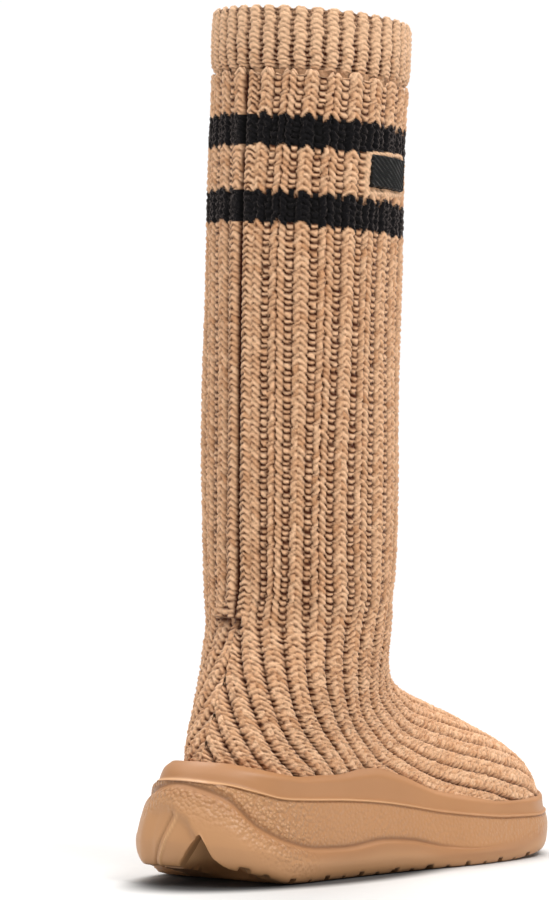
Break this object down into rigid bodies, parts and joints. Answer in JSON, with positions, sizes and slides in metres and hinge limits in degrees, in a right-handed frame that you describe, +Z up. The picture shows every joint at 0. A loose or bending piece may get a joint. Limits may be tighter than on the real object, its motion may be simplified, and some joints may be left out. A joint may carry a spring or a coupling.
{
  "type": "knit sock boot",
  "caption": "Knee-high rib-knit sock boot with a tight cuff, dark stripes and a plain patch, on a chunky one-piece moulded sneaker sole.",
  "frame": {"origin": "on the floor, under the middle of the sole", "axes": "+X to the toe, +Y to the inner side of the foot, +Z up the shaft"},
  "size_m": [0.28, 0.1069, 0.4239],
  "materials": {
    "rib_knit": "chunky wool-blend rib knit, matt and slightly hairy",
    "sole_foam": "injection-moulded foam, satin rim and lower band, leather-like grain between",
    "insole_cloth": "matt cloth-topped board",
    "patch_cloth": "black satin-woven patch"
  },
  "bodies": {
    "root": {"sole": "sole_foam", "insole": "insole_cloth", "upper": "rib_knit", "cuff": "rib_knit", "patch": "patch_cloth"}
  },
  "joints": []
}
